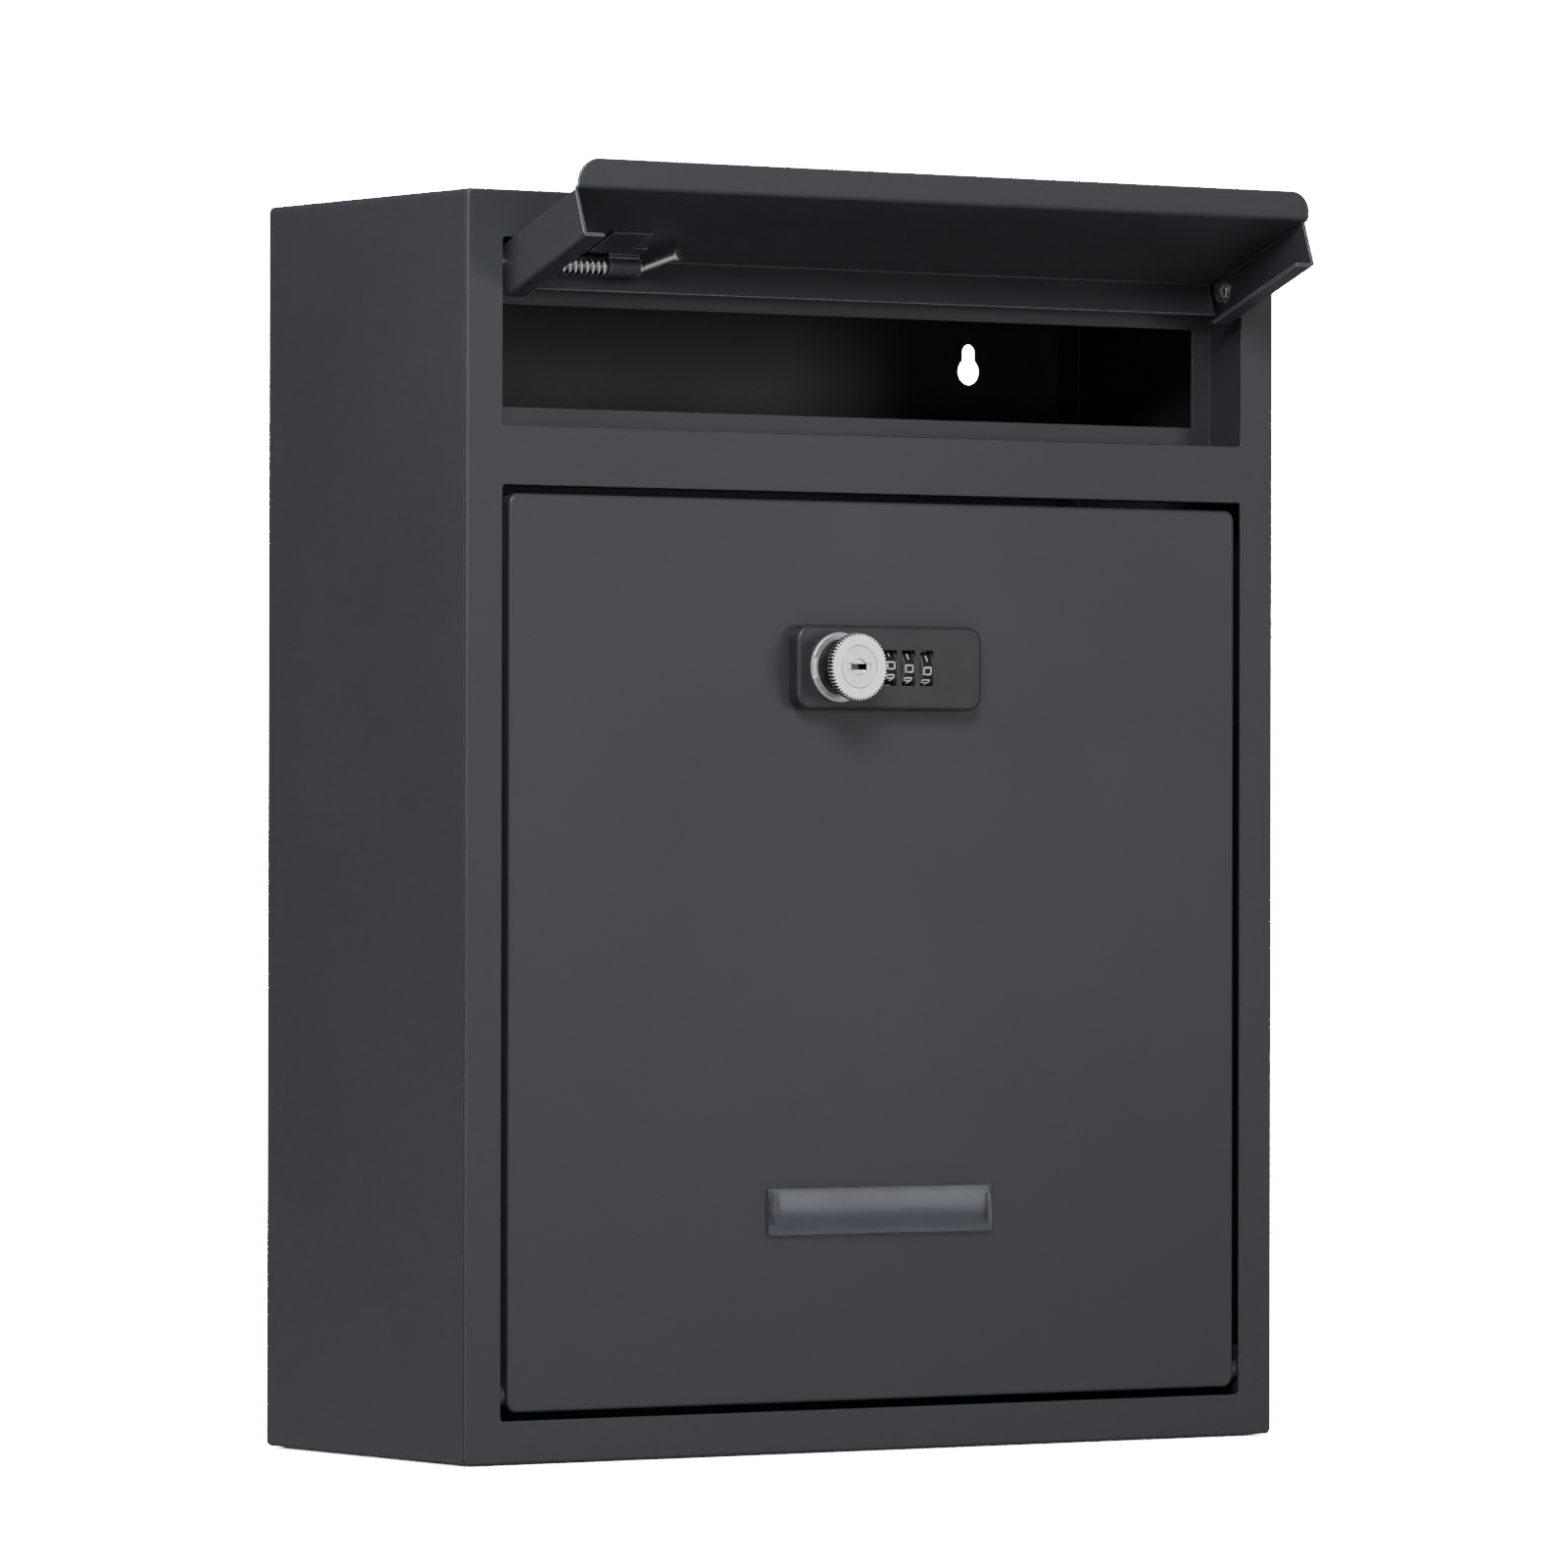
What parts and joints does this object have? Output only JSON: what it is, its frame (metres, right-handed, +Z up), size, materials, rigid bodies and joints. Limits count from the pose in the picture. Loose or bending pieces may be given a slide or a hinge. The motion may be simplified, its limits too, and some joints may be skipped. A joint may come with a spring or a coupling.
{
  "type": "parcel drop box",
  "caption": "Slim sheet-steel mail box with a lifting slot flap, a drop-down door with a combination knob lock, and keyhole fixings in the back.",
  "frame": {"origin": "centre of the flat base, under the middle of the body's width and depth", "axes": "+Z up, the front faces -Y, +X to the right as seen by someone facing the wall behind the box, so towards the hinge stud"},
  "size_m": [0.315, 0.1632, 0.4079],
  "materials": {
    "painted_steel": "smooth anthracite powder coat, semi-gloss",
    "zinc_steel": "bright zinc plate",
    "spring_wire": "bright zinc plate on drawn wire",
    "grey_plastic": "dark grey, satin, lightly textured",
    "black_plastic": "black, as moulded",
    "black_metal": "gloss black on a die casting",
    "bright_chrome": "polished",
    "brushed_chrome": "satin chrome, circular grain",
    "plug_metal": "satin nickel plate",
    "dial_plastic": "black with white digits",
    "clear_plastic": "clear moulded plastic, faintly blue-grey"
  },
  "bodies": {
    "carcass": {"front_panel": "painted_steel", "body_shell": "painted_steel", "back_panel": "painted_steel", "slot_frame": "painted_steel", "hinge_lug_left": "painted_steel", "hinge_lug_right": "painted_steel", "door_pin_left": "painted_steel", "door_pin_right": "painted_steel"},
    "door": {"door_pan": "painted_steel", "lock_plate": "grey_plastic", "lock_case": "black_plastic", "lock_collar": "bright_chrome", "dial_axle": "zinc_steel", "lock_screws": "zinc_steel", "label_window": "clear_plastic"},
    "knob": {"knob_spindle": "black_metal", "knob_disc": "brushed_chrome", "lock_cam": "zinc_steel", "cam_nut": "zinc_steel"},
    "plug": {"key_plug": "plug_metal"},
    "first_dial": {"dial_1": "dial_plastic"},
    "second_dial": {"dial_2": "dial_plastic"},
    "third_dial": {"dial_3": "dial_plastic"},
    "flap": {"flap_pan": "painted_steel", "barrel_leaf": "painted_steel", "hinge_stud": "zinc_steel", "pin_spring": "spring_wire"},
    "sliding_pin": {"hinge_pin": "zinc_steel", "pin_ring": "zinc_steel"}
  },
  "joints": [
    {"name": "door_drop", "type": "hinge", "parent": "carcass", "child": "door", "pos_m": [0, -0.0555, 0.0213], "axis": [1, 0, 0], "range_deg": [0, 110]},
    {"name": "flap_lift", "type": "hinge", "parent": "carcass", "child": "flap", "pos_m": [0, -0.0548, 0.3773], "axis": [1, 0, 0], "range_deg": [0, 110.5]},
    {"name": "pin_slide", "type": "slide", "parent": "flap", "child": "sliding_pin", "axis": [1, 0, 0], "range_m": [0, 0.006], "stiffness_N_per_m": 300, "springref_m": -0.008, "deforming": ["pin_spring"]},
    {"name": "knob_turn", "type": "hinge", "parent": "door", "child": "knob", "pos_m": [-0.0198, -0.06, 0.2513], "axis": [0, 1, 0], "range_deg": [0, 90]},
    {"name": "key_turn", "type": "hinge", "parent": "knob", "child": "plug", "pos_m": [-0.0198, -0.06, 0.2513], "axis": [0, 1, 0], "range_deg": [0, 90]},
    {"name": "dial_1_spin", "type": "hinge", "parent": "door", "child": "first_dial", "pos_m": [-0.00005, -0.0593, 0.2513], "axis": [1, 0, 0], "continuous": true},
    {"name": "dial_2_spin", "type": "hinge", "parent": "door", "child": "second_dial", "pos_m": [0.0071, -0.0593, 0.2513], "axis": [1, 0, 0], "continuous": true},
    {"name": "dial_3_spin", "type": "hinge", "parent": "door", "child": "third_dial", "pos_m": [0.01425, -0.0593, 0.2513], "axis": [1, 0, 0], "continuous": true}
  ]
}
